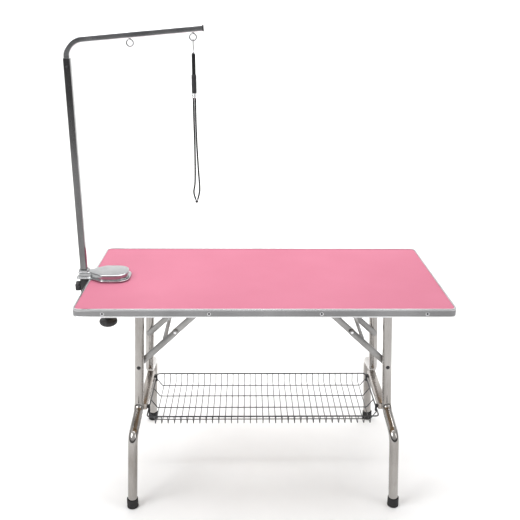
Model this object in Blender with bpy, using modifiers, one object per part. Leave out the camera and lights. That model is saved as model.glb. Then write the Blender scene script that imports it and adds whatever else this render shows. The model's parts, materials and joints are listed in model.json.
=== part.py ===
"""Folding pet grooming table with a clamp-on arm, a wire basket and a noose.

World frame: metres, +Z up, origin on the floor under the middle of the whole
object's box, front of the table towards -Y.  Lengths below are millimetres
and are scaled once, in the helpers.
"""
import math

import bmesh
import bpy
from mathutils import Matrix, Vector

for _o in list(bpy.data.objects):
    bpy.data.objects.remove(_o, do_unlink=True)

MM = 0.001
GAP = 0.3                      # clearance between neighbouring pieces

# ---- driving dimensions (mm) -------------------------------------------
SHIFT_X = 25.8                 # table middle to the middle of the whole box
TOP_L, TOP_W, TOP_H = 1200.0, 600.0, 750.0
TRIM_H, TRIM_T, TRIM_LIP = 28.0, 1.6, 7.0
CORNER_R = 22.0
PIVOT_X, PIVOT_Z = 413.5, 704.0
FOOT_X = 453.0                 # leg axis where it meets the floor
LEAN = (FOOT_X - PIVOT_X) / PIVOT_Z
UPPER_Y, FOOT_Y = 139.0, 279.0
TUBE_R = 16.0
SHAFT_R = 13.0
BEND_R, BEND_DEG, BEND_TOP_Z = 34.0, 80.0, 333.0
BAR_IN, BAR_OUT, BAR_Z0, BAR_Z1, BAR_Y = 411.0, 441.0, 286.0, 311.0, 122.5
BRACE_B_Z, BRACE_C_X = 470.0, 178.0
LINK_W, LINK_T = 22.0, 4.0
KNEE_BAR_AT, KNEE_BAR_OFF = 136.0, 12.8
RIM_Z, RIM_Y, RIM_X, RIM_R = 279.0, 155.0, 408.0, 2.5
FLOOR_Z, FLOOR_Y, FLOOR_X = 246.0, 148.0, 380.0
WIRE_R, LONG_R = 1.5, 1.9
PITCH = 2 * FLOOR_X / 34
LONG_YS = (-120.0, -41.0, 41.0, 120.0)
ARM_X, ARM_Y = -619.0, -16.0
POST_W, POST_IN, POST_Z0, POST_Z1 = 21.6, 18.6, 610.0, 1478.0
ARM_W, ARM_R, ARM_SLOPE, ARM_CORNER_Z, ARM_TIP_X, ARM_LEG_Z0 = 18.0, 56.0, 0.0945, 1530.0, -196.0, 1240.0
RING_R, RING_WIRE = 10.5, 2.0
RING_XS = (-421.0, -225.5)
CLAMP_SCREW_X = -548.0
LOCK_Z = 716.0

coll = bpy.data.collections.new("grooming_table")
cuts = bpy.data.collections.new("cutters")
bpy.context.scene.collection.children.link(coll)
bpy.context.scene.collection.children.link(cuts)


def mat(name, colour, rough, metal):
    m = bpy.data.materials.new(name)
    m.use_nodes = True
    b = m.node_tree.nodes["Principled BSDF"]
    b.inputs["Base Color"].default_value = (*colour, 1.0)
    b.inputs["Roughness"].default_value = rough
    b.inputs["Metallic"].default_value = metal
    return m


LOOKS = {
    "steel": ((0.55, 0.54, 0.52), 0.28, 1.0),
    "alu": ((0.62, 0.62, 0.63), 0.35, 1.0),
    "cast": ((0.70, 0.71, 0.72), 0.45, 0.9),
    "wood": ((0.45, 0.32, 0.20), 0.7, 0.0),
    "pink": ((0.93, 0.42, 0.55), 0.6, 0.0),
    "black": ((0.02, 0.02, 0.02), 0.45, 0.0),
    "zinc": ((0.33, 0.33, 0.34), 0.35, 1.0),
    "nylon": ((0.015, 0.015, 0.018), 0.8, 0.0),
}


def finish(o, look, origin=(0, 0, 0), smooth=True):
    """Name the material, set the origin (mm, table frame) and collect."""
    colour, rough, metal = LOOKS[look]
    o.data.materials.clear()
    o.data.materials.append(mat(o.name + "_mat", colour, rough, metal))
    org = Vector((origin[0] + SHIFT_X, origin[1], origin[2])) * MM
    if o.type == "MESH":
        o.data.transform(o.matrix_world)
        o.matrix_world = Matrix.Identity(4)
        o.data.transform(Matrix.Translation(-org))
        if smooth:
            o.data.shade_smooth()
            o.data.set_sharp_from_angle(angle=math.radians(35))
    o.location = org
    for c in list(o.users_collection):
        c.objects.unlink(o)
    coll.objects.link(o)
    return o


def new_mesh(name, bm):
    me = bpy.data.meshes.new(name)
    bm.to_mesh(me)
    bm.free()
    o = bpy.data.objects.new(name, me)
    bpy.context.scene.collection.objects.link(o)
    return o


def box(name, x0, x1, y0, y1, z0, z1, bevel=0.0):
    bm = bmesh.new()
    bmesh.ops.create_cube(bm, size=1.0)
    bmesh.ops.scale(bm, vec=Vector((x1 - x0, y1 - y0, z1 - z0)) * MM, verts=bm.verts)
    c = Vector(((x0 + x1) / 2 + SHIFT_X, (y0 + y1) / 2, (z0 + z1) / 2)) * MM
    bmesh.ops.translate(bm, vec=c, verts=bm.verts)
    if bevel:
        bmesh.ops.bevel(bm, geom=list(bm.edges), offset=bevel * MM, segments=2,
                        affect="EDGES", profile=0.5)
    return new_mesh(name, bm)


def cyl(name, p, axis, length, r0, r1=None, seg=24):
    """Cylinder or cone from p (mm) along a world axis letter."""
    bm = bmesh.new()
    bmesh.ops.create_cone(bm, cap_ends=True, segments=seg, radius1=r0 * MM,
                          radius2=(r0 if r1 is None else r1) * MM, depth=length * MM)
    bmesh.ops.translate(bm, vec=(0, 0, length * MM / 2), verts=bm.verts)
    rot = {"z": Matrix.Identity(3), "y": Matrix.Rotation(-math.pi / 2, 3, "X"),
           "x": Matrix.Rotation(math.pi / 2, 3, "Y")}[axis]
    bmesh.ops.rotate(bm, matrix=rot, verts=bm.verts)
    bmesh.ops.translate(bm, vec=Vector((p[0] + SHIFT_X, p[1], p[2])) * MM, verts=bm.verts)
    return new_mesh(name, bm)


def to_mesh(o):
    """Replace a curve by its welded mesh, in world space."""
    dg = bpy.context.evaluated_depsgraph_get()
    dg.update()
    me = bpy.data.meshes.new_from_object(o.evaluated_get(dg))
    name, mw = o.name, o.matrix_world.copy()
    bpy.data.objects.remove(o, do_unlink=True)
    bm = bmesh.new()
    bm.from_mesh(me)
    bmesh.ops.remove_doubles(bm, verts=bm.verts, dist=0.00001)
    bmesh.ops.transform(bm, matrix=mw, verts=bm.verts)
    bmesh.ops.recalc_face_normals(bm, faces=bm.faces)
    n = new_mesh(name, bm)
    n.name = name
    return n


def wire(name, pts, r, res=2, cyclic=False):
    cu = bpy.data.curves.new(name, "CURVE")
    cu.dimensions = "3D"
    cu.bevel_depth = r * MM
    cu.bevel_resolution = res
    cu.use_fill_caps = not cyclic
    sp = cu.splines.new("POLY")
    sp.points.add(len(pts) - 1)
    for q, p in zip(sp.points, pts):
        q.co = ((p[0] + SHIFT_X) * MM, p[1] * MM, p[2] * MM, 1.0)
    sp.use_cyclic_u = cyclic
    o = bpy.data.objects.new(name, cu)
    bpy.context.scene.collection.objects.link(o)
    bpy.context.view_layer.update()
    return to_mesh(o)


def prism(name, outline, lo, hi, plane="xy"):
    """Flat outline (mm) given thickness lo..hi along the third axis."""
    cu = bpy.data.curves.new(name, "CURVE")
    cu.dimensions = "2D"
    cu.fill_mode = "BOTH"
    cu.extrude = (hi - lo) / 2 * MM
    sp = cu.splines.new("POLY")
    sp.points.add(len(outline) - 1)
    for q, p in zip(sp.points, outline):
        q.co = (p[0] * MM, p[1] * MM, 0.0, 1.0)
    sp.use_cyclic_u = True
    o = bpy.data.objects.new(name, cu)
    bpy.context.scene.collection.objects.link(o)
    if plane == "xy":
        o.location = (SHIFT_X * MM, 0, (lo + hi) / 2 * MM)
    else:
        o.rotation_euler = (math.pi / 2, 0, 0)
        o.location = (SHIFT_X * MM, (lo + hi) / 2 * MM, 0)
    bpy.context.view_layer.update()
    return to_mesh(o)


def boolean(o, other, op):
    for c in list(other.users_collection):
        c.objects.unlink(other)
    cuts.objects.link(other)
    other.hide_render = True
    other.display_type = "WIRE"
    m = o.modifiers.new("b", "BOOLEAN")
    m.operation = op
    m.solver = "EXACT"
    m.object = other
    dg = bpy.context.evaluated_depsgraph_get()
    dg.update()
    me = bpy.data.meshes.new_from_object(o.evaluated_get(dg))
    o.modifiers.clear()
    o.data = me
    bpy.data.objects.remove(other, do_unlink=True)
    return o


def rounded(w, d, r, seg=4, cx=0.0, cy=0.0):
    pts = []
    for sx, sy, a0 in ((1, 1, 0), (-1, 1, 90), (-1, -1, 180), (1, -1, 270)):
        for i in range(seg + 1):
            a = math.radians(a0 + 90.0 * i / seg)
            pts.append((cx + sx * (w / 2 - r) + r * math.cos(a),
                        cy + sy * (d / 2 - r) + r * math.sin(a)))
    return pts


def bar_outline(p, q, half, seg=8):
    """Flat bar with round ends from p to q in its own plane."""
    a = math.atan2(q[1] - p[1], q[0] - p[0])
    pts = []
    for i in range(seg + 1):
        t = a - math.pi / 2 + math.pi * i / seg
        pts.append((q[0] + half * math.cos(t), q[1] + half * math.sin(t)))
    for i in range(seg + 1):
        t = a + math.pi / 2 + math.pi * i / seg
        pts.append((p[0] + half * math.cos(t), p[1] + half * math.sin(t)))
    return pts


# ---- table top ----------------------------------------------------------
Z1, Z0 = TOP_H, TOP_H - TRIM_H
inner_l, inner_w = TOP_L - 2 * TRIM_T, TOP_W - 2 * TRIM_T
trim = prism("edge_trim", rounded(TOP_L, TOP_W, CORNER_R), Z0, Z1)
boolean(trim, prism("c1", rounded(inner_l, inner_w, CORNER_R - TRIM_T), Z0 + TRIM_T, Z1 - TRIM_T), "DIFFERENCE")
boolean(trim, prism("c2", rounded(TOP_L - 2 * TRIM_LIP, TOP_W - 2 * TRIM_LIP, CORNER_R - TRIM_LIP), Z1 - 8, Z1 + 5), "DIFFERENCE")
boolean(trim, prism("c3", rounded(TOP_L - 24, TOP_W - 24, CORNER_R - 12), Z0 - 5, Z0 + 6), "DIFFERENCE")
finish(trim, "alu")
bl, bw, br = inner_l - 2 * GAP, inner_w - 2 * GAP, CORNER_R - TRIM_T - GAP
finish(prism("table_board", rounded(bl, bw, br), Z0 + TRIM_T + GAP, Z1 - TRIM_T - 3.6), "wood")
finish(prism("rubber_mat", rounded(bl, bw, br), Z1 - TRIM_T - 3.3, Z1 - TRIM_T - GAP), "pink")
BOARD_Z = Z0 + TRIM_T + GAP


def sym(side, x):
    return x * side


def leg_x(z):
    return FOOT_X - LEAN * z


def leg_path(ys):
    """Leg axis from its top to the foot: two bends splay it outwards."""
    a = math.radians(BEND_DEG)
    pts = [(UPPER_Y, PIVOT_Z - SHAFT_R - GAP), (UPPER_Y, 520.0), (UPPER_Y, BEND_TOP_Z)]
    n = 6
    for i in range(1, n + 1):
        t = a * i / n
        pts.append((UPPER_Y + BEND_R * (1 - math.cos(t)), BEND_TOP_Z - BEND_R * math.sin(t)))
    y1, z1 = pts[-1]
    y2 = FOOT_Y - BEND_R * (1 - math.cos(a))
    z2 = z1 - (y2 - y1) / math.tan(a)
    for i in range(n + 1):
        t = a * (1 - i / n)
        pts.append((FOOT_Y - BEND_R * (1 - math.cos(t)), z2 - BEND_R * math.sin(a) + BEND_R * math.sin(t)))
    pts.append((FOOT_Y, 7.6))
    return [(y * ys, z) for y, z in pts]


# ---- the two folding ends -----------------------------------------------
for side, tag in ((-1, "left"), (1, "right")):
    t = tag[0]
    A = (side * PIVOT_X, PIVOT_Z)
    B = (side * leg_x(BRACE_B_Z), BRACE_B_Z)
    C = (side * BRACE_C_X, PIVOT_Z)
    fold = (A[0], 0.0, A[1])
    # hinge bracket under the board: base strip and two drilled cheeks
    br_ = box("leg_hinge_" + tag, A[0] - 26, A[0] + 26, -113, 113, BOARD_Z - GAP - 3.6, BOARD_Z - GAP)
    for y in (-100.0, 100.0):
        boolean(br_, box("u", A[0] - 20, A[0] + 20, y - 3, y + 3, PIVOT_Z - 18, BOARD_Z - GAP - 2), "UNION")
        boolean(br_, cyl("c", (A[0], y - 8, A[1]), "y", 16, SHAFT_R + GAP, seg=24), "DIFFERENCE")
    finish(br_, "steel")
    finish(cyl("leg_shaft_" + tag, (A[0], -152, A[1]), "y", 304, SHAFT_R, seg=24), "steel", fold)
    for ys, f in ((-1, "front"), (1, "rear")):
        path = [(side * leg_x(z), y, z) for y, z in leg_path(ys)]
        finish(wire("leg_%s_%s" % (tag, f), path, TUBE_R, res=4), "steel", fold)
        foot = cyl("foot_%s_%s" % (tag, f), (side * leg_x(0), ys * FOOT_Y, 0), "z", 34, 19.6, 19.2, seg=24)
        boolean(foot, cyl("c", (side * leg_x(20), ys * FOOT_Y, 6), "z", 40, TUBE_R + 1.4, seg=24), "DIFFERENCE")
        finish(foot, "black", fold)
    lo, hi = sorted((side * BAR_IN, side * BAR_OUT))
    finish(box("crossbar_" + tag, lo, hi, -BAR_Y, BAR_Y, BAR_Z0, BAR_Z1, bevel=3.0), "steel", fold)
    # hooks that carry the basket's end rim, open outwards
    for ys, f in ((-1, "front"), (1, "rear")):
        s = side
        x = lambda v: s * v
        hook = prism("basket_hook_%s_%s" % (tag, f),
                     [(x(410.6), 299), (x(402.0), 299), (x(402.0), 272.8), (x(411.0), 272.8),
                      (x(411.0), 276.0), (x(405.0), 276.0), (x(405.0), 287.0), (x(410.6), 287.0)],
                     ys * 109 - 5, ys * 109 + 5, plane="xz")
        finish(hook, "black", fold)
    # braces
    def dist(p, q):
        return math.hypot(p[0] - q[0], p[1] - q[1])
    L, b_, c_ = dist(B, C), dist(A, B), dist(A, C)
    l1 = (L + b_ - c_) / 2
    ux, uz = (C[0] - B[0]) / L, (C[1] - B[1]) / L
    K = (B[0] + ux * l1, B[1] + uz * l1)
    for ys, f in ((-1, "front"), (1, "rear")):
        ya, yb = sorted((ys * 118.4, ys * 122.4))
        finish(prism("brace_lower_%s_%s" % (tag, f), bar_outline(B, K, LINK_W / 2), ya, yb, plane="xz"),
               "steel", (K[0], 0, K[1]))
        ya, yb = sorted((ys * 114.0, ys * 118.0))
        finish(prism("brace_upper_%s_%s" % (tag, f), bar_outline(K, C, LINK_W / 2), ya, yb, plane="xz"),
               "steel", (C[0], 0, C[1]))
    nx, nz = (-uz, ux) if side < 0 else (uz, -ux)
    nx, nz = (nx, nz) if nz > 0 else (-nx, -nz)
    m0 = (B[0] + ux * (KNEE_BAR_AT - 11) + nx * KNEE_BAR_OFF, B[1] + uz * (KNEE_BAR_AT - 11) + nz * KNEE_BAR_OFF)
    m1 = (B[0] + ux * (KNEE_BAR_AT + 11) + nx * KNEE_BAR_OFF, B[1] + uz * (KNEE_BAR_AT + 11) + nz * KNEE_BAR_OFF)
    quad = [(m0[0] - nx * 1.5, m0[1] - nz * 1.5), (m1[0] - nx * 1.5, m1[1] - nz * 1.5),
            (m1[0] + nx * 1.5, m1[1] + nz * 1.5), (m0[0] + nx * 1.5, m0[1] + nz * 1.5)]
    finish(prism("knee_bar_" + tag, quad, -122.4, 122.4, plane="xz"), "steel", (K[0], 0, K[1]))
    # brace bracket under the board
    bb = box("brace_hinge_" + tag, C[0] - 22, C[0] + 22, -113.6, 113.6, BOARD_Z - GAP - 3.6, BOARD_Z - GAP)
    for ys in (-1, 1):
        ya, yb = sorted((ys * 109.6, ys * 113.6))
        boolean(bb, box("u", C[0] - 14, C[0] + 14, ya, yb, PIVOT_Z - 13, BOARD_Z - GAP - 2), "UNION")
    finish(bb, "steel")

# ---- wire basket --------------------------------------------------------
cols = int(round(2 * FLOOR_X / PITCH))
bm = bmesh.new()
rows = [[bm.verts.new(((-FLOOR_X + PITCH * i + SHIFT_X) * MM, y * MM, FLOOR_Z * MM)) for y in LONG_YS]
        for i in range(cols + 1)]
for i in range(cols):
    for j in range(len(LONG_YS) - 1):
        bm.faces.new((rows[i][j], rows[i + 1][j], rows[i + 1][j + 1], rows[i][j + 1]))
floor = new_mesh("basket_floor", bm)
w = floor.modifiers.new("lattice", "WIREFRAME")
w.thickness = 3.0 * MM
w.use_even_offset = True
w.use_boundary = True
dg = bpy.context.evaluated_depsgraph_get()
dg.update()
floor.data = bpy.data.meshes.new_from_object(floor.evaluated_get(dg))
floor.modifiers.clear()
finish(floor, "zinc", smooth=False)


def comb(name, rail, teeth, tooth_r, rail_r):
    """A rail with many teeth, joined into one body."""
    o = wire(name, rail, rail_r, res=1)
    me = bpy.data.meshes.new("teeth")
    bmj = bmesh.new()
    for pts in teeth:
        q = wire("tooth", pts, tooth_r, res=0)
        bmj.from_mesh(q.data)
        bpy.data.objects.remove(q, do_unlink=True)
    bmj.to_mesh(me)
    bmj.free()
    other = bpy.data.objects.new("teeth", me)
    bpy.context.scene.collection.objects.link(other)
    return boolean(o, other, "UNION")


for ys, f in ((-1, "front"), (1, "rear")):
    teeth = []
    for i in range(cols + 1):
        x = -FLOOR_X + PITCH * i
        teeth.append([(x, ys * (120 + 1.5 + GAP), FLOOR_Z), (x, ys * FLOOR_Y, FLOOR_Z), (x, ys * RIM_Y, RIM_Z)])
    finish(comb("basket_wall_" + f, [(-RIM_X + RIM_R + GAP, ys * RIM_Y, RIM_Z), (RIM_X - RIM_R - GAP, ys * RIM_Y, RIM_Z)],
                teeth, WIRE_R, RIM_R), "zinc", smooth=False)
for side, tag in ((-1, "left"), (1, "right")):
    teeth = [[(side * (FLOOR_X + 1.5 + GAP), y, FLOOR_Z), (side * (FLOOR_X + 5), y, FLOOR_Z), (side * RIM_X, y, RIM_Z)]
             for y in LONG_YS]
    finish(comb("basket_end_" + tag, [(side * RIM_X, -RIM_Y - RIM_R, RIM_Z), (side * RIM_X, RIM_Y + RIM_R, RIM_Z)],
                teeth, LONG_R, RIM_R), "zinc", smooth=False)

# ---- clamp --------------------------------------------------------------
PAD_X0, PAD_X1, NECK_X0, NECK_X1 = -552.0, -466.0, -637.0, -596.0


def clamp_outline(grow):
    y0, hw, hn = ARM_Y, 52.0 + grow, 18.0 + grow
    r = 40.0
    pts = [(NECK_X0 - grow, y0 - hn), (NECK_X1, y0 - hn), (PAD_X0, y0 - hw)]
    for i in range(7):
        a = math.radians(-90 + 15.0 * i)
        pts.append((PAD_X1 + grow - r + r * math.cos(a), y0 - hw + r + r * math.sin(a)))
    for i in range(7):
        a = math.radians(15.0 * i)
        pts.append((PAD_X1 + grow - r + r * math.cos(a), y0 + hw - r + r * math.sin(a)))
    pts += [(PAD_X0, y0 + hw), (NECK_X1, y0 + hn), (NECK_X0 - grow, y0 + hn)]
    return pts


zc = TOP_H + GAP
base = prism("clamp_base", clamp_outline(6.0), zc, zc + 6)
upper = prism("u", clamp_outline(0.0), zc + 4, zc + 24)
boolean(base, upper, "UNION")
boolean(base, box("u", ARM_X - 16, ARM_X + 16, ARM_Y - 16, ARM_Y + 16, zc + 20, zc + 30), "UNION")
hw = POST_W / 2 + GAP
boolean(base, box("c", ARM_X - hw, ARM_X + hw, ARM_Y - hw, ARM_Y + hw, zc - 5, zc + 60), "DIFFERENCE")
finish(base, "cast")
sock = box("post_socket", ARM_X - 13.5, ARM_X + 13.5, ARM_Y - 13.5, ARM_Y + 13.5, 698, TOP_H)
boolean(sock, box("c", ARM_X - hw, ARM_X + hw, ARM_Y - hw, ARM_Y + hw, 690, 760), "DIFFERENCE")
boolean(sock, cyl("c", (ARM_X - 20, ARM_Y, LOCK_Z), "x", 12, 4.3, seg=20), "DIFFERENCE")
finish(sock, "black")
fr = prism("clamp_frame", [(-605.2, 750.0), (-605.2, 640.0), (-528.0, 640.0), (-528.0, 652.0),
                           (-600.7, 652.0), (-600.7, 750.0)], ARM_Y - 15, ARM_Y + 15, plane="xz")
boolean(fr, cyl("c", (CLAMP_SCREW_X, ARM_Y, 630), "z", 32, 6.4, seg=24), "DIFFERENCE")
finish(fr, "black")
screw_org = (CLAMP_SCREW_X, ARM_Y, 646)
finish(cyl("clamp_pad", (CLAMP_SCREW_X, ARM_Y, 716.6), "z", 7.0, 17.0, seg=28), "black", screw_org)
finish(cyl("clamp_screw", (CLAMP_SCREW_X, ARM_Y, 601.0), "z", 115.3, 6.0, seg=24), "zinc", screw_org)


def turned(name, profile, p, seg=28):
    """Solid of revolution about Z: profile (r, z) from top to bottom."""
    bmx = bmesh.new()
    vs = [bmx.verts.new((r * MM, 0, z * MM)) for r, z in profile]
    for a, b in zip(vs, vs[1:]):
        bmx.edges.new((a, b))
    o = new_mesh(name, bmx)
    s = o.modifiers.new("turn", "SCREW")
    s.steps = s.render_steps = seg
    s.use_merge_vertices = True
    s.merge_threshold = 0.00001
    s.use_smooth_shade = True
    dgx = bpy.context.evaluated_depsgraph_get()
    dgx.update()
    o.data = bpy.data.meshes.new_from_object(o.evaluated_get(dgx))
    o.modifiers.clear()
    o.data.transform(Matrix.Translation(Vector((p[0] + SHIFT_X, p[1], p[2])) * MM))
    return o


knob = [(0, 35), (11, 35), (12, 28), (27, 26.5), (31, 22), (32, 17), (30.5, 11), (26, 6), (18, 2), (9, 0.3), (0, 0)]
finish(turned("clamp_knob", knob, (CLAMP_SCREW_X, ARM_Y, 565.5)), "black", screw_org)
lock_org = (ARM_X - 20, ARM_Y, LOCK_Z)
finish(cyl("lock_screw", (-634.1, ARM_Y, LOCK_Z), "x", 4.0, 4.0, seg=20), "zinc", lock_org)
lobes = []
for i in range(40):
    a = 2 * math.pi * i / 40
    r = 16.0 + 2.4 * math.cos(5 * a)
    lobes.append((r * math.cos(a), r * math.sin(a)))
star = prism("lock_knob", lobes, 0, 17)
star.data.transform(Matrix.Translation((-SHIFT_X * MM, 0, 0)))
star.data.transform(Matrix.Rotation(math.pi / 2, 4, "Y"))
star.data.transform(Matrix.Translation(Vector((-651.6 + SHIFT_X, ARM_Y, LOCK_Z)) * MM))
finish(star, "black", lock_org)

# ---- grooming arm -------------------------------------------------------
post = box("arm_post", ARM_X - POST_W / 2, ARM_X + POST_W / 2, ARM_Y - POST_W / 2, ARM_Y + POST_W / 2, POST_Z0, POST_Z1, bevel=0)
boolean(post, box("c", ARM_X - POST_IN / 2, ARM_X + POST_IN / 2, ARM_Y - POST_IN / 2, ARM_Y + POST_IN / 2,
                  POST_Z0 - 5, POST_Z1 + 5), "DIFFERENCE")
finish(post, "steel", (ARM_X, ARM_Y, TOP_H))
slope = math.atan(ARM_SLOPE)
turn = math.pi / 2 - slope
tl = ARM_R * math.tan(turn / 2)
h = ARM_W / 2
cxb, czb = ARM_X + ARM_R, ARM_CORNER_Z - tl


def arc(rad, n=10):
    return [(cxb - rad * math.cos(turn * i / n), czb + rad * math.sin(turn * i / n)) for i in range(n + 1)]


def along(x, off):
    """Point at x on the sloping run, off mm above its axis."""
    z = ARM_CORNER_Z + (x - ARM_X) * ARM_SLOPE
    return (x - off * math.sin(slope), z + off * math.cos(slope))


outl = [(ARM_X - h, ARM_LEG_Z0)] + arc(ARM_R + h) + [along(ARM_TIP_X, h), along(ARM_TIP_X, -h)] \
    + arc(ARM_R - h)[::-1] + [(ARM_X + h, ARM_LEG_Z0)]
arm_org = (ARM_X, ARM_Y, POST_Z1)
finish(prism("arm_top", outl, ARM_Y - h, ARM_Y + h, plane="xz"), "steel", arm_org)
cap = [along(ARM_TIP_X + GAP, 10), along(ARM_TIP_X + 4, 10), along(ARM_TIP_X + 4, -10), along(ARM_TIP_X + GAP, -10)]
finish(prism("arm_end_cap", cap, ARM_Y - 10, ARM_Y + 10, plane="xz"), "black", arm_org)


def ring_centre(x):
    return ARM_CORNER_Z + (x - ARM_X) * ARM_SLOPE - h / math.cos(slope) - 14.6


for x, tag in zip(RING_XS, ("inner", "outer")):
    zr = ring_centre(x)
    pts = [(x, ARM_Y, zr + 14.1), (x, ARM_Y, zr + RING_R)]
    for i in range(1, 17):
        a = math.radians(90 - 332.0 * i / 16)
        pts.append((x + RING_R * math.cos(a), ARM_Y, zr + RING_R * math.sin(a)))
    finish(wire("eye_" + tag, pts, RING_WIRE, res=2), "zinc", arm_org)

# ---- noose --------------------------------------------------------------
NX = RING_XS[1]
PZ = ring_centre(NX) - RING_R            # the hook swings about the ring's lowest point
swing = (NX, ARM_Y, PZ)
loop = []
for i in range(9):
    a = math.pi * i / 8
    loop.append((NX, ARM_Y + 4.7 * math.cos(a), PZ + 4.7 * math.sin(a)))
for i in range(9):
    a = math.pi + math.pi * i / 8
    loop.append((NX, ARM_Y + 4.7 * math.cos(a), PZ - 24 + 4.7 * math.sin(a)))
finish(wire("snap_hook", loop, 1.3, res=1, cyclic=True), "zinc", swing)
HB = PZ - 24 - 4.7 - 1.3                  # underside of the hook
finish(cyl("hook_swivel", (NX, ARM_Y, HB - GAP - 9), "z", 9, 4.5, 3.2, seg=20), "zinc", swing)
ST1 = HB - GAP - 9 - GAP
ST0 = 1431.0
finish(box("noose_strap", NX - 5.8, NX + 5.8, ARM_Y - 2.2, ARM_Y + 2.2, ST0, ST1, bevel=1.2), "nylon", swing)


def sleeve(name, z0, z1, ro, look):
    o = cyl(name, (NX, ARM_Y, z0), "z", z1 - z0, ro, seg=20)
    boolean(o, cyl("c", (NX, ARM_Y, z0 - 5), "z", z1 - z0 + 10, 6.1, seg=20), "DIFFERENCE")
    return finish(o, look, (NX, ARM_Y, ST0))


sleeve("noose_slider", 1374.0, ST0 - GAP, 7.8, "nylon")
sleeve("noose_ferrule", 1358.0, 1374.0 - GAP, 7.2, "alu")
BEAD_Z = 1021.0


def smooth_route(knots, n):
    """Catmull-Rom route through (offset from the middle, height) knots."""
    k = [knots[0]] + list(knots) + [knots[-1]]
    out = []
    for s_ in range(len(knots) - 1):
        p0, p1, p2, p3 = k[s_:s_ + 4]
        for i in range(n):
            u = i / n
            out.append(tuple(0.5 * (2 * p1[d] + (p2[d] - p0[d]) * u
                                    + (2 * p0[d] - 5 * p1[d] + 4 * p2[d] - p3[d]) * u * u
                                    + (3 * p1[d] - p0[d] - 3 * p2[d] + p3[d]) * u ** 3) for d in (0, 1)))
    out.append(tuple(knots[-1]))
    return out


RIGHT = ((3.0, 1430.4), (3.0, 1358), (3.0, 1290), (4.4, 1210), (7.6, 1130), (10.6, 1070), (8.8, 1048), (3.1, 1026.2))
LEFT = ((-3.0, 1430.4), (-3.0, 1358), (-3.0, 1290), (-2.2, 1210), (-2.8, 1130), (-4.6, 1082), (-9.0, 1052), (-3.1, 1026.2))
for tag, knots in (("right", RIGHT), ("left", LEFT)):
    pts = [(NX + a, ARM_Y, z) for a, z in smooth_route(knots, 5)]
    finish(wire("noose_cord_" + tag, pts, 2.7, res=2), "nylon", swing)
bmb = bmesh.new()
bmesh.ops.create_uvsphere(bmb, u_segments=16, v_segments=10, radius=5.0 * MM)
bmesh.ops.translate(bmb, vec=Vector((NX + SHIFT_X, ARM_Y, BEAD_Z - 0.9)) * MM, verts=bmb.verts)
finish(new_mesh("noose_bead", bmb), "black", swing)

# ---- parent empties on the joint axes -----------------------------------
for name, p in (("axis_fold_left", (-PIVOT_X, 0, PIVOT_Z)), ("axis_fold_right", (PIVOT_X, 0, PIVOT_Z)),
                ("axis_noose", swing)):
    e = bpy.data.objects.new(name, None)
    e.location = Vector((p[0] + SHIFT_X, p[1], p[2])) * MM
    coll.objects.link(e)
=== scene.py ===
import json
import math
import bmesh
import bpy
from mathutils import Matrix, Vector


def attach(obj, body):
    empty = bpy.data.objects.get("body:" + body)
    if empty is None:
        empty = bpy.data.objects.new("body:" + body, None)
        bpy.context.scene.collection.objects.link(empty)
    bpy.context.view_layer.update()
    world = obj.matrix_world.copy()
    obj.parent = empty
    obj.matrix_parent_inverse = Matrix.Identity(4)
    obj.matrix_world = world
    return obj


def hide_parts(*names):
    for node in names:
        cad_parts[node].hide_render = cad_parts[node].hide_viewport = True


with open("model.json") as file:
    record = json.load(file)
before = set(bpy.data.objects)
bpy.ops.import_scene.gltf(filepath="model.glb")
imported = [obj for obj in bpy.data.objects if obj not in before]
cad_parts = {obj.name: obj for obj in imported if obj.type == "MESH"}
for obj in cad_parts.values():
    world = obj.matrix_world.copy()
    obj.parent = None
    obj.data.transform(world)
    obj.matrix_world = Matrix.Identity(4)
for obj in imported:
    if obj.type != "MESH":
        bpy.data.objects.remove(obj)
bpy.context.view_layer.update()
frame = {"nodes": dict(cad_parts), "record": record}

S = 0.0258          # table middle to the middle of the whole box
NODES = frame["nodes"]
BODY = {n: b for b, ns in frame["record"]["behaviour"]["bodies"].items() for n in ns}


def W(x, y, z):
    return Vector((x / 1000.0 + S, y / 1000.0, z / 1000.0))


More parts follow.
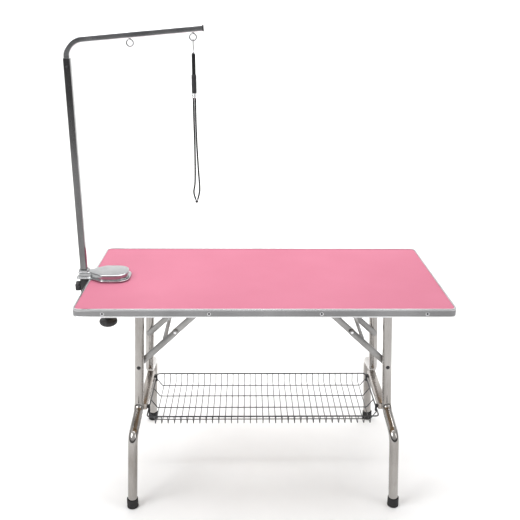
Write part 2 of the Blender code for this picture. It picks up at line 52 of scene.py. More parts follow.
# ---------------------------------------------------------------- materials
class Tree:
    """A small helper for writing node materials."""

    def __init__(self, name):
        self.m = bpy.data.materials.new(name)
        self.m.use_nodes = True
        self.t = self.m.node_tree
        self.b = self.t.nodes["Principled BSDF"]
        self.co = self.node("ShaderNodeTexCoord").outputs["Object"]

    def node(self, kind, **k):
        n = self.t.nodes.new(kind)
        for a, v in k.items():
            setattr(n, a, v)
        return n

    def link(self, a, b):
        self.t.links.new(a, b)

    def scaled(self, s, rot=(0, 0, 0)):
        n = self.node("ShaderNodeMapping")
        n.inputs["Scale"].default_value = s
        n.inputs["Rotation"].default_value = rot
        self.link(self.co, n.inputs["Vector"])
        return n.outputs["Vector"]

    def noise(self, scale, stretch=(1, 1, 1), detail=4.0, rough=0.55):
        n = self.node("ShaderNodeTexNoise")
        n.inputs["Scale"].default_value = scale
        n.inputs["Detail"].default_value = detail
        n.inputs["Roughness"].default_value = rough
        self.link(self.scaled(stretch), n.inputs["Vector"])
        return n.outputs["Fac"]

    def voronoi(self, scale, stretch=(1, 1, 1)):
        n = self.node("ShaderNodeTexVoronoi")
        n.inputs["Scale"].default_value = scale
        self.link(self.scaled(stretch), n.inputs["Vector"])
        return n.outputs["Distance"]

    def wave(self, scale, axis="X", dist=0.0, stretch=(1, 1, 1), rot=(0, 0, 0)):
        n = self.node("ShaderNodeTexWave")
        n.bands_direction = axis
        n.inputs["Scale"].default_value = scale
        n.inputs["Distortion"].default_value = dist
        self.link(self.scaled(stretch, rot), n.inputs["Vector"])
        return n.outputs["Fac"]

    def ramp(self, fac, *stops):
        n = self.node("ShaderNodeValToRGB")
        e = n.color_ramp.elements
        while len(e) < len(stops):
            e.new(0.5)
        for el, (p, c) in zip(e, stops):
            el.position = p
            el.color = (*c, 1.0) if isinstance(c, tuple) else (c, c, c, 1.0)
        self.link(fac, n.inputs["Fac"])
        return n.outputs["Color"]

    def span(self, fac, lo, hi, a=0.3, b=0.7):
        n = self.node("ShaderNodeMapRange")
        n.inputs["From Min"].default_value = a
        n.inputs["From Max"].default_value = b
        n.inputs["To Min"].default_value = lo
        n.inputs["To Max"].default_value = hi
        self.link(fac, n.inputs["Value"])
        return n.outputs["Result"]

    def add(self, a, b, wa=1.0, wb=1.0):
        m1 = self.node("ShaderNodeMath", operation="MULTIPLY")
        m1.inputs[1].default_value = wa
        self.link(a, m1.inputs[0])
        m2 = self.node("ShaderNodeMath", operation="MULTIPLY_ADD")
        m2.inputs[1].default_value = wb
        self.link(b, m2.inputs[0])
        self.link(m1.outputs[0], m2.inputs[2])
        return m2.outputs[0]

    def bump(self, height, strength, distance=0.0004, then=None):
        n = self.node("ShaderNodeBump")
        n.inputs["Strength"].default_value = strength
        n.inputs["Distance"].default_value = distance
        self.link(height, n.inputs["Height"])
        if then is not None:
            self.link(then, n.inputs["Normal"])
        self.link(n.outputs["Normal"], self.b.inputs["Normal"])
        return n.outputs["Normal"]

    def base(self, socket):
        self.link(socket, self.b.inputs["Base Color"])

    def rough(self, socket):
        self.link(socket, self.b.inputs["Roughness"])

    def put(self, **k):
        names = {"metal": "Metallic", "rough": "Roughness", "sheen": "Sheen Weight", "coat": "Coat Weight",
                 "coat_rough": "Coat Roughness", "aniso": "Anisotropic", "spec": "Specular IOR Level"}
        for a, v in k.items():
            self.b.inputs[names[a]].default_value = v


def metal(name, dark, light, rough_lo, rough_hi, brush=(1, 1, 1), brush_scale=900.0, bump=0.06, blotch=7.0):
    t = Tree(name)
    t.put(metal=1.0)
    big = t.noise(blotch, (1, 1, 0.5), 5.0)
    fine = t.noise(brush_scale, brush, 3.0, 0.7)
    mixd = t.add(big, fine, 0.72, 0.28)
    t.base(t.ramp(mixd, (0.32, dark), (0.66, light)))
    t.rough(t.span(mixd, rough_lo, rough_hi))
    t.bump(fine, bump, 0.0002)
    return t.m


M = {}
M["mirror"] = metal("polished_stainless", (0.25, 0.23, 0.213), (0.50, 0.485, 0.47), 0.07, 0.17, (1, 1, 0.04), 700.0, 0.05)
# Two copies of one satin stainless: the post's copy is darker as painted shade, the arm's copy is lighter as a painted
# highlight along its bend
M["square"] = metal("stainless_post_painted_shade", (0.13, 0.127, 0.128), (0.33, 0.327, 0.328), 0.11, 0.22, (1, 1, 0.02), 900.0, 0.10)
M["arm"] = metal("stainless_arm_painted_highlight", (0.56, 0.565, 0.58), (0.84, 0.845, 0.855), 0.13, 0.26, (0.02, 1, 0.12), 900.0, 0.10)
M["flat"] = metal("flat_bar_steel", (0.24, 0.235, 0.23), (0.42, 0.415, 0.41), 0.28, 0.42, (0.3, 1, 0.3), 900.0, 0.12)
# Two copies of one aluminium for the trim: the darker one is painted shade on its face, the lighter one is a painted
# highlight on its lip and lower edge
M["alu"] = metal("satin_aluminium_painted_shade", (0.19, 0.19, 0.192), (0.33, 0.33, 0.332), 0.16, 0.27, (0.03, 0.03, 1.0), 1100.0, 0.06, 4.0)
M["lip"] = metal("bright_aluminium_lip", (0.52, 0.52, 0.525), (0.74, 0.74, 0.745), 0.14, 0.26, (0.03, 0.03, 1.0), 1100.0, 0.06, 4.0)
M["wire"] = metal("dark_plated_wire", (0.05, 0.05, 0.053), (0.13, 0.13, 0.134), 0.30, 0.46, (1, 1, 1), 500.0, 0.08, 22.0)
M["zinc"] = metal("plated_wire", (0.20, 0.20, 0.205), (0.38, 0.38, 0.385), 0.25, 0.42, (1, 1, 1), 500.0, 0.08, 22.0)
M["bright"] = metal("bright_plating", (0.62, 0.62, 0.63), (0.84, 0.84, 0.85), 0.10, 0.22, (1, 1, 1), 700.0, 0.05, 30.0)
M["bar"] = metal("cross_tube", (0.30, 0.26, 0.23), (0.50, 0.47, 0.44), 0.16, 0.30, (1, 0.03, 1), 800.0, 0.07, 5.0)


def painted():
    t = Tree("cast_satin_grey")
    t.put(metal=1.0)
    grain = t.noise(1500.0, (1, 1, 1), 3.0, 0.7)
    big = t.noise(28.0)
    t.base(t.ramp(t.add(big, grain, 0.7, 0.3), (0.35, (0.36, 0.365, 0.37)), (0.66, (0.47, 0.475, 0.48))))
    t.rough(t.span(grain, 0.16, 0.27))
    t.bump(grain, 0.08, 0.0002)
    return t.m


def plastic(name, dark, light, lo, hi, grain_scale=1800.0, strength=0.25):
    t = Tree(name)
    grain = t.voronoi(grain_scale)
    big = t.noise(60.0)
    t.base(t.ramp(t.add(big, grain, 0.7, 0.3), (0.25, dark), (0.7, light)))
    t.rough(t.span(grain, lo, hi, 0.0, 0.7))
    t.bump(grain, strength, 0.0002)
    return t.m


def mat_rubber():
    t = Tree("pink_textured_mat")
    pebble = t.voronoi(330.0)
    fine = t.noise(1900.0, (1, 1, 1), 2.0, 0.8)
    cloud = t.noise(2.2, (1, 1, 1), 3.0)
    mixd = t.add(cloud, fine, 0.55, 0.45)
    t.base(t.ramp(mixd, (0.28, (0.415, 0.112, 0.172)), (0.5, (0.46, 0.138, 0.205)), (0.74, (0.515, 0.168, 0.24))))
    t.rough(t.span(fine, 0.52, 0.68))
    t.put(spec=0.25)
    n = t.bump(pebble, 0.35, 0.0006)
    t.bump(fine, 0.25, 0.0003, n)
    return t.m


def board():
    t = Tree("laminated_board")
    ring = t.wave(3.2, "Y", 9.0, (0.35, 9, 3))
    fine = t.noise(260.0, (0.05, 1, 1), 5.0, 0.7)
    t.base(t.ramp(t.add(ring, fine, 0.5, 0.5), (0.25, (0.30, 0.20, 0.115)), (0.75, (0.50, 0.36, 0.22))))
    t.rough(t.span(fine, 0.55, 0.75))
    t.bump(fine, 0.25, 0.0004)
    return t.m


def webbing():
    t = Tree("woven_webbing")
    a = t.wave(420.0, "DIAGONAL", 0.3)
    b = t.wave(420.0, "DIAGONAL", 0.3, (-1, 1, 1))
    w = t.add(a, b, 0.5, 0.5)
    t.base(t.ramp(w, (0.2, (0.003, 0.003, 0.0035)), (0.8, (0.016, 0.016, 0.018))))
    t.rough(t.span(w, 0.62, 0.88, 0.0, 1.0))
    t.put(sheen=0.04, spec=0.3)
    t.bump(w, 0.6, 0.0003)
    return t.m


def heatshrink():
    t = Tree("soft_sleeve")
    rib = t.wave(130.0, "Z", 0.4)
    fine = t.noise(900.0, (1, 1, 0.2), 3.0)
    t.base(t.ramp(t.add(rib, fine, 0.4, 0.6), (0.3, (0.010, 0.010, 0.011)), (0.75, (0.034, 0.034, 0.036))))
    t.rough(t.span(fine, 0.38, 0.6))
    t.bump(rib, 0.25, 0.0004)
    return t.m


M["cast"] = painted()
M["black"] = plastic("black_moulded", (0.010, 0.010, 0.011), (0.030, 0.030, 0.032), 0.34, 0.52)
M["foot"] = plastic("black_rubber", (0.006, 0.006, 0.0065), (0.020, 0.020, 0.021), 0.58, 0.8, 900.0, 0.4)
M["pink"] = mat_rubber()
M["wood"] = board()
M["nylon"] = webbing()
M["sleeve"] = heatshrink()


# ---------------------------------------------------------------- mesh code
def new(name, verts, faces, look, slot_name, body, replaces=(), angle=34.0, merge=True):
    me = bpy.data.meshes.new(name)
    me.from_pydata([tuple(v) for v in verts], [], faces)
    bm = bmesh.new()
    bm.from_mesh(me)
    if merge:
        bmesh.ops.remove_doubles(bm, verts=bm.verts, dist=1e-7)
    bmesh.ops.recalc_face_normals(bm, faces=bm.faces)
    bm.to_mesh(me)
    bm.free()
    me.validate()
    for p in me.polygons:
        p.use_smooth = True
    me.set_sharp_from_angle(angle=math.radians(angle))
    o = bpy.data.objects.new(name, me)
    bpy.context.scene.collection.objects.link(o)
    me.materials.append(M[look])
    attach(o, body)
    if replaces:
        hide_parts(*replaces)
    return o


def circle(r, n):
    return [(r * math.cos(2 * math.pi * i / n), r * math.sin(2 * math.pi * i / n)) for i in range(n)]


def soft_square(w, r, n=5):
    h = w / 2 - r
    out = []
    for q, (cx, cy) in enumerate(((h, h), (-h, h), (-h, -h), (h, -h))):
        for i in range(n + 1):
            a = math.pi / 2 * (q + i / n)
            out.append((cx + r * math.cos(a), cy + r * math.sin(a)))
    return out


def sweep_data(pts, profile, up=None, closed=False, scale=None):
    """Profile carried along pts (metres) by parallel transport."""
    P = [Vector(p) for p in pts]
    n = len(P)
    tang = []
    for i in range(n):
        a = P[(i - 1) % n] if closed or i else P[0]
        b = P[(i + 1) % n] if closed or i < n - 1 else P[-1]
        tang.append((b - a).normalized())
    u = up.copy() if up is not None else (Vector((0, 1, 0)) if abs(tang[0].y) < 0.9 else Vector((1, 0, 0)))
    verts, faces = [], []
    m = len(profile)
    for i in range(n):
        u = (u - tang[i] * u.dot(tang[i])).normalized()
        v = tang[i].cross(u)
        k = scale[i] if scale else 1.0
        for a, b in profile:
            verts.append(P[i] + u * (a * k) + v * (b * k))
    for i in range(n if closed else n - 1):
        j = (i + 1) % n
        for q in range(m):
            r = (q + 1) % m
            faces.append((i * m + q, i * m + r, j * m + r, j * m + q))
    if not closed:
        faces.append(tuple(range(m))[::-1])
        faces.append(tuple((n - 1) * m + q for q in range(m)))
    return verts, faces


def join(parts):
    verts, faces = [], []
    for v, f in parts:
        k = len(verts)
        verts += list(v)
        faces += [tuple(i + k for i in q) for q in f]
    return verts, faces


def lathe_data(profile, centre, axis="z", n=36, wobble=None):
    """Profile of (radius, distance along the axis) in metres."""
    c = Vector(centre)
    verts, faces = [], []
    for r, d in profile:
        for i in range(n):
            a = 2 * math.pi * i / n
            k = r * (wobble(a, r, d) if wobble else 1.0)
            x, y = k * math.cos(a), k * math.sin(a)
            p = {"z": Vector((x, y, d)), "y": Vector((x, d, y)), "x": Vector((d, x, y))}[axis]
            verts.append(c + p)
    for j in range(len(profile) - 1):
        for i in range(n):
            q = (i + 1) % n
            faces.append((j * n + i, j * n + q, (j + 1) * n + q, (j + 1) * n + i))
    faces.append(tuple(range(n))[::-1])
    faces.append(tuple((len(profile) - 1) * n + i for i in range(n)))
    return verts, faces


def dome(r, h, steps=5, base=0.0, sign=1.0):
    """Half of a flattened ball as a lathe profile, from its rim to its top."""
    return [(r * math.cos(math.pi / 2 * i / steps) + 1e-6, base + sign * h * math.sin(math.pi / 2 * i / steps))
            for i in range(steps + 1)]


def softened(node, look, width=0.0005, segments=2, angle=32.0):
    """A copy of a CAD node with its edges broken, in place of that node."""
    src = NODES[node]
    me = src.data.copy()
    me.materials.clear()
    bm = bmesh.new()
    bm.from_mesh(me)
    bmesh.ops.remove_doubles(bm, verts=bm.verts, dist=2e-6)
    bmesh.ops.dissolve_limit(bm, angle_limit=math.radians(1.0), verts=bm.verts, edges=bm.edges)
    edges = [e for e in bm.edges if len(e.link_faces) == 2 and e.calc_face_angle(0.0) > math.radians(angle)]
    bmesh.ops.bevel(bm, geom=edges, offset=width, segments=segments, profile=0.5, affect="EDGES", clamp_overlap=True)
    bm.to_mesh(me)
    bm.free()
    me.validate()
    for p in me.polygons:
        p.use_smooth = True
    me.set_sharp_from_angle(angle=math.radians(38))
    o = bpy.data.objects.new(node + "_look", me)
    bpy.context.scene.collection.objects.link(o)
    me.materials.append(M[look])
    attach(o, BODY[node])
    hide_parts(node)
    return o


def mm(seq):
    return [(a / 1000.0, b / 1000.0) for a, b in seq]


def dress(node, look):
    NODES[node].data.materials.clear()
    NODES[node].data.materials.append(M[look])


# ---------------------------------------------------------------- table top
L2, W2, CR = 600.0, 300.0, 22.0
TRIM = [(1.0, 722.0), (0.2, 722.4), (0.0, 723.2), (0.0, 726.4), (0.55, 727.0), (0.55, 728.0), (0.0, 728.6),
        (0.0, 743.4), (0.35, 743.8), (0.35, 744.5), (0.0, 744.9), (0.0, 748.6), (0.3, 749.5), (1.2, 750.0),
        (6.2, 750.0), (6.8, 749.8), (7.0, 749.2), (6.9, 748.5), (1.8, 748.5), (1.7, 723.75), (12.0, 723.7), (12.0, 722.0)]
TRIM = [(d + 0.3 if d < 0.9 else d, z) for d, z in TRIM]    # the screws in its face stand up to the CAD face


def trim_data():
    verts, faces = [], []
    stations = []
    for q, (sx, sy) in enumerate(((1, 1), (-1, 1), (-1, -1), (1, -1))):
        for i in range(13):
            a = math.pi / 2 * (q + i / 12)
            stations.append((sx * (L2 - CR), sy * (W2 - CR), math.cos(a), math.sin(a)))
    m = len(TRIM)
    for cx, cy, dx, dy in stations:
        for d, z in TRIM:
            verts.append(W(cx + (CR - d) * dx, cy + (CR - d) * dy, z))
    n = len(stations)
    for i in range(n):
        j = (i + 1) % n
        for q in range(m):
            r = (q + 1) % m
            faces.append((i * m + q, j * m + q, j * m + r, i * m + r))
    return verts, faces


trim_o = new("trim_profile", *trim_data(), "alu", "alu", "table", ("edge_trim",), 24.0)
# Top lip and lower edge take the lighter aluminium copy as a painted highlight; the face between keeps the darker copy
# as painted shade
trim_o.data.materials.append(M["lip"])
for poly in trim_o.data.polygons:
    if poly.center.z > 0.7447 or poly.center.z < 0.7271:
        poly.material_index = 1
dress("rubber_mat", "pink")
dress("table_board", "wood")

# countersunk screws along both long edges of the trim
ring, head = [], []
for x in (-505, -175, 175, 505):
    for y, s in ((-299.7, -1), (299.7, 1)):
        ring.append(lathe_data([(0.0036, 0.0), (0.0037, s * 0.00015), (0.0043, s * 0.00028), (0.0052, s * 0.00028),
                                (0.0058, s * 0.0001), (0.0059, -s * 0.0003)], W(x, y, 735), "y", 28))
        head.append(lathe_data([(0.0035, -s * 0.0003)] + dome(0.0034, 0.00015, 4, 0.0, s), W(x, y, 735), "y", 28))
        for a in (0, 1):
            w, h = (0.0023, 0.0004) if a else (0.0004, 0.0023)
            c = W(x, y, 735)
            head.append(([c + Vector((i * w, s * q, j * h)) for q in (0.00005, 0.00028) for i, j in ((-1, -1), (1, -1), (1, 1), (-1, 1))],
                         [(0, 1, 2, 3), (4, 5, 6, 7), (0, 1, 5, 4), (1, 2, 6, 5), (2, 3, 7, 6), (3, 0, 4, 7)]))
new("trim_screw_rings", *join(ring), "bright", "alu", "table")
new("trim_screw_heads", *join(head), "wire", "zinc", "table")

# ---------------------------------------------------------------- legs
PIVOT_X, PIVOT_Z, LEAN = 413.5, 704.0, (453.0 - 413.5) / 704.0


def leg_x(z):
    return 453.0 - LEAN * z


def leg_line(ys, n=14):
    a, R = math.radians(80.0), 34.0
    pts = [(139.0, 690.7), (139.0, 689.0), (139.0, 520.0), (139.0, 400.0), (139.0, 335.0)]
    for i in range(n + 1):
        t = a * i / n
        pts.append((139.0 + R * (1 - math.cos(t)), 333.0 - R * math.sin(t)))
    y1, z1 = pts[-1]
    y2 = 279.0 - R * (1 - math.cos(a))
    z2 = z1 - (y2 - y1) / math.tan(a)
    for i in range(n + 1):
        t = a * (1 - i / n)
        pts.append((279.0 - R * (1 - math.cos(t)), z2 - R * math.sin(a) + R * math.sin(t)))
    pts += [(279.0, 200.0), (279.0, 100.0), (279.0, 8.0)]
    return [(y * ys, z) for y, z in pts]


BX, BZ, CX, CZ = leg_x(470.0), 470.0, 178.0, 704.0
LL, bb, cc = math.hypot(BX - CX, CZ - BZ), math.hypot(BX - PIVOT_X, PIVOT_Z - BZ), PIVOT_X - CX
L1 = (LL + bb - cc) / 2
KX, KZ = BX - (BX - CX) * L1 / LL, BZ + (CZ - BZ) * L1 / LL

FOOT = mm([(0.01, 0.2), (16.6, 0.2), (18.4, 0.6), (19.4, 1.8), (19.5, 5.6), (19.0, 6.8), (18.8, 7.6), (19.1, 8.6), (19.1, 27.6),
           (18.9, 28.4), (19.1, 29.2), (19.1, 32.2), (18.7, 33.4), (18.0, 33.8), (17.3, 33.6), (16.7, 32.0), (16.5, 26.0), (0.01, 25.0)])
for side, tag in ((-1, "left"), (1, "right")):
    body = "leg_frame_" + tag
    for ys, f in ((-1, "front"), (1, "rear")):
        node = "leg_%s_%s" % (tag, f)
        pts = [W(side * leg_x(z), y, z) for y, z in leg_line(ys)]
        new(node + "_tube", *sweep_data(pts, circle(0.016, 36), Vector((1, 0, 0))), "mirror", "steel", body, (node,), 40)
        node = "foot_%s_%s" % (tag, f)
        new(node + "_cup", *lathe_data(FOOT, W(side * leg_x(20), ys * 279.0, 0), "z", 40), "foot", "black", body, (node,))
        # bolt through the leg at the lower pivot, with its washer and a spacer to the link
        c = W(side * BX, ys * 139.0, BZ)
        bolt = [lathe_data([(0.0001, ys * 0.0120), (0.0066, ys * 0.0120), (0.0066, ys * 0.0164), (0.0060, ys * 0.0168), (0.0001, ys * 0.0168)], c, "y", 32)]
        bolt.append(lathe_data([(0.0001, ys * 0.0168), (0.0052, ys * 0.0166), (0.0054, ys * 0.0188), (0.0046, ys * 0.0202), (0.0001, ys * 0.0206)], c, "y", 6))
        bolt.append(lathe_data([(0.0001, -ys * 0.0140), (0.0052, -ys * 0.0140), (0.0052, -ys * 0.01645), (0.0001, -ys * 0.01645)], c, "y", 24))
        new("pivot_bolt_%s_%s" % (tag, f), *join(bolt), "black", "steel", body)
        # brace links
        softened("brace_lower_%s_%s" % (tag, f), "flat", 0.0007)
        softened("brace_upper_%s_%s" % (tag, f), "flat", 0.0007)
        k = W(side * KX, 0, KZ)
        riv = [lathe_data([(0.0001, ys * 0.1133)] + [(r, y) for r, y in ((0.0030, ys * 0.1133), (0.0046, ys * 0.1137), (0.0048, ys * 0.1145), (0.0001, ys * 0.1145))], k, "y", 24),
               lathe_data([(0.0001, ys * 0.1220), (0.0048, ys * 0.1220), (0.0046, ys * 0.1226), (0.0030, ys * 0.1229), (0.0001, ys * 0.1229)], k, "y", 24)]
        new("knee_rivet_%s_%s" % (tag, f), *join(riv), "bright", "steel", "lower_links_" + tag)
        c = W(side * CX, 0, CZ)
        new("top_rivet_%s_%s" % (tag, f), *lathe_data([(0.0001, ys * 0.1080), (0.0036, ys * 0.1080), (0.0048, ys * 0.1090), (0.0048, ys * 0.1100),
            (0.0036, ys * 0.1100), (0.0036, ys * 0.1179), (0.0050, ys * 0.1179), (0.0047, ys * 0.1182), (0.0001, ys * 0.11825)], c, "y", 24),
            "bright", "steel", "table")
        # The basket hooks are real parts, but their black plastic look is painted shade for the dark spot where the
        # basket rim meets the crossbar
        softened("basket_hook_%s_%s" % (tag, f), "black", 0.0006)
    # axle with pressed end caps
    prof = mm([(0.01, -152.0), (9.5, -151.9), (12.4, -151.2), (13.0, -150.0), (13.0, -147.5), (12.7, -147.2), (13.0, -146.9), (13.0, 146.9),
               (12.7, 147.2), (13.0, 147.5), (13.0, 150.0), (12.4, 151.2), (9.5, 151.9), (0.01, 152.0)])
    new("axle_%s" % tag, *lathe_data(prof, W(side * PIVOT_X, 0, PIVOT_Z), "y", 36), "mirror", "steel", body, ("leg_shaft_" + tag,), 40)
    softened("crossbar_" + tag, "bar", 0.0006, angle=50)
    softened("knee_bar_" + tag, "flat", 0.0005)
    softened("leg_hinge_" + tag, "flat", 0.0005)
    softened("brace_hinge_" + tag, "flat", 0.0005)
    sc = []
    for x, w in ((PIVOT_X, 17.0), (CX, 15.0)):
        for y in (-85, -40, 0, 40, 85):
            for d in (-1, 1):
                sc.append(lathe_data([(0.0042, 0.0)] + dome(0.0040, 0.0013, 4, 0.0, -1.0), W(side * x + d * w, y, 719.95), "z", 16))
    new("bracket_screws_" + tag, *join(sc), "zinc", "steel", "table")

# ---------------------------------------------------------------- basket
def rounded_line(knots, r, n=5):
    """Polyline with its corners rounded."""
    out = [Vector(knots[0])]
    for a, b, c in zip(knots, knots[1:], knots[2:]):
        a, b, c = Vector(a), Vector(b), Vector(c)
        u, v = (a - b).normalized(), (c - b).normalized()
        half = u.angle(v) / 2
        d = min(r / math.tan(half), (a - b).length * 0.45, (c - b).length * 0.45)
        p, q = b + u * d, b + v * d
        for i in range(n + 1):
            t = i / n
            out.append(p * (1 - t) ** 2 + b * 2 * t * (1 - t) + q * t * t)
    out.append(Vector(knots[-1]))
    return out


wires = []
ring8, ring10 = circle(0.0015, 8), circle(0.0018, 10)
for i in range(35):
    x = -380.0 + 760.0 / 34 * i
    knots = [W(x, -155, 279), W(x, -148, 246), W(x, 148, 246), W(x, 155, 279)]
    wires.append(sweep_data(rounded_line(knots, 0.007), ring8, Vector((1, 0, 0))))
for y in (-120.0, -41.0, 41.0, 120.0):
    knots = [W(-408, y, 279), W(-385, y, 246), W(385, y, 246), W(408, y, 279)]
    wires.append(sweep_data(rounded_line(knots, 0.007), ring10, Vector((0, 1, 0))))
rim = []
for q, (sx, sy) in enumerate(((1, 1), (-1, 1), (-1, -1), (1, -1))):
    for i in range(7):
        a = math.pi / 2 * (q + i / 6)
        rim.append(W(sx * (408 - 12) + 12 * math.cos(a), sy * (155 - 12) + 12 * math.sin(a), 279))
wires.append(sweep_data(rim, circle(0.0025, 14), Vector((0, 0, 1)), closed=True))
new("basket_wires", *join(wires), "wire", "zinc", "table",
    ("basket_floor", "basket_wall_front", "basket_wall_rear", "basket_end_left", "basket_end_right"), 50, merge=False)

# ---------------------------------------------------------------- clamp
AX, AY = -619.0, -16.0
PAD_X0, PAD_X1, NECK_X0, NECK_X1 = -552.0, -466.0, -637.0, -596.0


def clamp_outline(grow):
    hw, hn, r = 52.0 + grow, 18.0 + grow, 40.0
    c = []
    c.append((NECK_X0 - grow, AY - hn))
    c.append((NECK_X1, AY - hn))
    c.append((PAD_X0, AY - hw))
    for i in range(7):
        a = math.radians(-90 + 15.0 * i)
        c.append((PAD_X1 + grow - r + r * math.cos(a), AY - hw + r + r * math.sin(a)))
    for i in range(7):
        a = math.radians(15.0 * i)
        c.append((PAD_X1 + grow - r + r * math.cos(a), AY + hw - r + r * math.sin(a)))
    c += [(PAD_X0, AY + hw), (NECK_X1, AY + hn), (NECK_X0 - grow, AY + hn)]
    for _ in range(3):
        d = []
        for p, q in zip(c, c[1:] + c[:1]):
            ln = math.hypot(q[0] - p[0], q[1] - p[1])
            k = min(0.25, 3.0 / ln) if ln > 12 else 0.25
            d.append((p[0] + (q[0] - p[0]) * k, p[1] + (q[1] - p[1]) * k))
            d.append((q[0] - (q[0] - p[0]) * k, q[1] - (q[1] - p[1]) * k))
        c = d
    return c


layers = [(4.8, 750.35), (6.0, 751.2), (6.0, 754.6), (5.2, 755.6), (3.4, 756.0), (-1.9, 756.2), (-2.6, 757.0), (-2.6, 767.2), (-1.9, 768.0),
          (-0.5, 768.2), (0.0, 768.8), (0.0, 771.4), (-0.7, 772.8), (-2.4, 774.0), (-5.0, 774.3)]
verts, faces = [], []
m = len(clamp_outline(0.0))
for g, z in layers:
    verts += [W(x, y, z) for x, y in clamp_outline(g)]
for j in range(len(layers) - 1):
    for i in range(m):
        q = (i + 1) % m
        faces.append((j * m + i, j * m + q, (j + 1) * m + q, (j + 1) * m + i))
faces.append(tuple(range(m))[::-1])
faces.append(tuple((len(layers) - 1) * m + i for i in range(m)))
sq = []
for w, z in ((31.4, 774.0), (32.0, 774.6), (32.0, 778.6), (31.0, 779.8), (29.0, 780.3), (23.4, 780.3), (22.4, 779.6), (22.2, 776.0)):
    sq.append([W(AX + a, AY + b, z) for a, b in soft_square(w, 3.0)])
k = len(sq[0])
cv = [v for r in sq for v in r]
cf = [(j * k + i, j * k + (i + 1) % k, (j + 1) * k + (i + 1) % k, (j + 1) * k + i) for j in range(len(sq) - 1) for i in range(k)]
new("clamp_casting", *join([(verts, faces), (cv, cf)]), "cast", "cast", "table", ("clamp_base",), 30)
softened("post_socket", "black", 0.0008)
softened("clamp_frame", "black", 0.0006)
pad = mm([(0.01, 716.65), (15.0, 716.7), (16.6, 717.3), (16.9, 718.4), (16.9, 722.0), (16.4, 723.0), (15.2, 723.5), (0.01, 723.55)])
new("clamp_pad_disc", *lathe_data(pad, (W(-548, 0, 0).x, AY / 1000, 0), "z", 36), "foot", "black", "pad", ("clamp_pad",))
z, prof = 601.0, [(0.01, 601.0)]
while z < 715.2:
    prof += [(5.25, z), (5.95, z + 0.7), (5.95, z + 1.0), (5.25, z + 1.6)]
    z += 1.75
prof += [(5.2, 716.2), (0.01, 716.3)]
new("clamp_thread", *lathe_data(mm(prof), (W(-548, 0, 0).x, AY / 1000, 0), "z", 20), "zinc", "zinc", "clamp_handle", ("clamp_screw",), 60)
knob = mm([(0.01, 600.4), (10.5, 600.4), (11.2, 599.6), (12.0, 594.0), (14.0, 592.8), (25.0, 591.9), (28.5, 590.6), (30.9, 588.0), (31.8, 584.0),
           (31.6, 579.5), (30.2, 575.5), (26.6, 571.6), (21.0, 568.4), (14.0, 566.6), (7.0, 566.0), (6.6, 565.6), (0.01, 565.6)])
new("clamp_hand_knob", *lathe_data(knob, (W(-548, 0, 0).x, AY / 1000, 0), "z", 96,
    lambda a, r, d: 1.0 - (0.035 * (0.5 + 0.5 * math.cos(14 * a)) ** 2 if 0.020 < r else 0.0)), "black", "black", "clamp_handle", ("clamp_knob",), 50)
lk = [(-634.1, 0.01), (-634.1, 3.4)]
x = -633.9
while x < -631.3:
    lk += [(x, 3.45), (x + 0.5, 3.95), (x + 0.75, 3.95), (x + 1.2, 3.45)]
    x += 1.25
lk += [(-630.3, 3.3), (-630.1, 0.01)]
new("lock_thread", *lathe_data([(r / 1000, W(q, 0, 0).x) for q, r in lk], (0, AY / 1000, 0.716), "x", 20), "zinc", "zinc", "lock_travel", ("lock_screw",), 60)
star = []
for q, kk in ((-651.5, 0.30), (-651.3, 0.55), (-651.4, 0.62), (-651.2, 0.80), (-650.2, 0.92), (-648.4, 0.985), (-645.0, 1.0),
              (-639.0, 1.0), (-636.4, 0.97), (-635.0, 0.90), (-634.7, 0.80)):
    star.append([Vector((W(q, 0, 0).x, AY / 1000 + kk * (16.0 + 2.3 * math.cos(5 * a)) / 1000 * math.cos(a),
                         0.716 + kk * (16.0 + 2.3 * math.cos(5 * a)) / 1000 * math.sin(a)))
                 for a in [2 * math.pi * i / 80 for i in range(80)]])
k = 80
cv = [v for r in star for v in r]
cf = [(j * k + i, j * k + (i + 1) % k, (j + 1) * k + (i + 1) % k, (j + 1) * k + i) for j in range(len(star) - 1) for i in range(k)]
cf += [tuple(range(k))[::-1], tuple((len(star) - 1) * k + i for i in range(k))]
new("lock_star_knob", cv, cf, "black", "black", "lock_handle", ("lock_knob",), 40)

# ---------------------------------------------------------------- arm
outer, inner = soft_square(21.6, 2.4), soft_square(18.7, 1.4)
rows = [(outer, 610.6), (outer, 1477.4)]
rows = [(soft_square(20.9, 2.1), 610.0)] + rows + [(soft_square(20.9, 2.1), 1478.0), (soft_square(19.3, 1.7), 1478.0), (inner, 1477.4), (inner, 611.0),
        (soft_square(19.3, 1.7), 610.0)]
k = len(outer)
cv = [W(AX + a, AY + b, z) for r, z in rows for a, b in r]
n = len(rows)
cf = [(j * k + i, j * k + (i + 1) % k, ((j + 1) % n) * k + (i + 1) % k, ((j + 1) % n) * k + i) for j in range(n) for i in range(k)]
# The post takes the darker stainless copy: painted shade
new("post_tube", cv, cf, "square", "steel", "post", ("arm_post",), 30)
btn = lathe_data([(0.0001, -0.0102), (0.0046, -0.0102), (0.0048, -0.0114), (0.0036, -0.0116), (0.0034, -0.0128), (0.0022, -0.0134), (0.0001, -0.0136)],
                 W(AX, AY, 1452), "y", 28)
new("post_button", *btn, "black", "black", "post")

